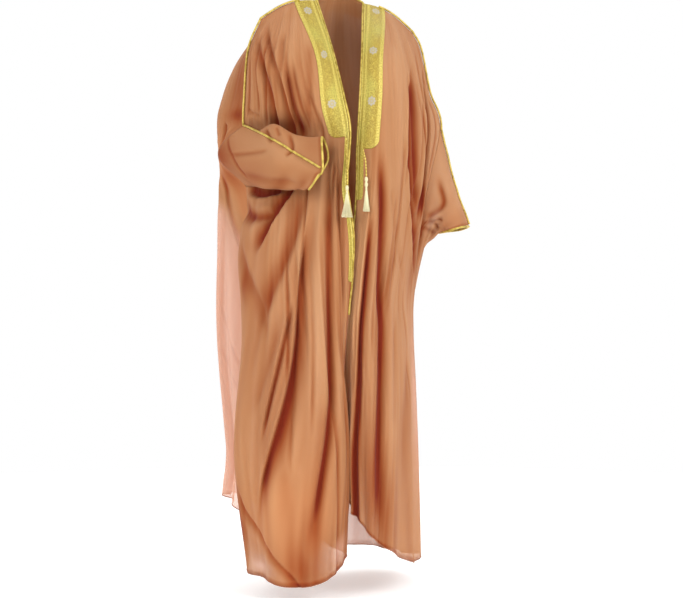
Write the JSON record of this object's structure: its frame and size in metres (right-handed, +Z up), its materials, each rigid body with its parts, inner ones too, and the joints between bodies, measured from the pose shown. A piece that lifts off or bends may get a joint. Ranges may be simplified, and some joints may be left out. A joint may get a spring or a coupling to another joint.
{
  "type": "bisht cloak",
  "caption": "Sheer caramel ceremonial cloak, open in front, with a broad gold neck band, gold piping, sleeve ends and tassels, worn with one arm bent.",
  "frame": {"origin": "midway between the high points of the shoulders, where the wearer carries the cloak", "axes": "+Z up the wearer's body; the wearer faces -Y and their left is +X"},
  "size_m": [0.619, 0.5114, 1.5141],
  "materials": {
    "cloth": "sheer matt chiffon",
    "zari": "gold metal-thread embroidery",
    "piping": "twisted gold cord",
    "tassel": "pale gold silk thread"
  },
  "bodies": {
    "root": {"front_right": "cloth", "front_left": "cloth", "back": "cloth", "sleeve_right": "cloth", "sleeve_left": "cloth", "band_neck": "zari", "band_right": "zari", "band_left": "zari", "tail_left": "zari", "edging_right": "piping", "edging_left": "piping", "arm_piping_right": "piping", "arm_piping_left": "piping", "cuff_piping_right": "piping", "cuff_piping_left": "piping", "tassel_cord_right": "tassel", "tassel_cord_left": "tassel", "tassel_right": "tassel", "tassel_left": "tassel"}
  },
  "joints": []
}
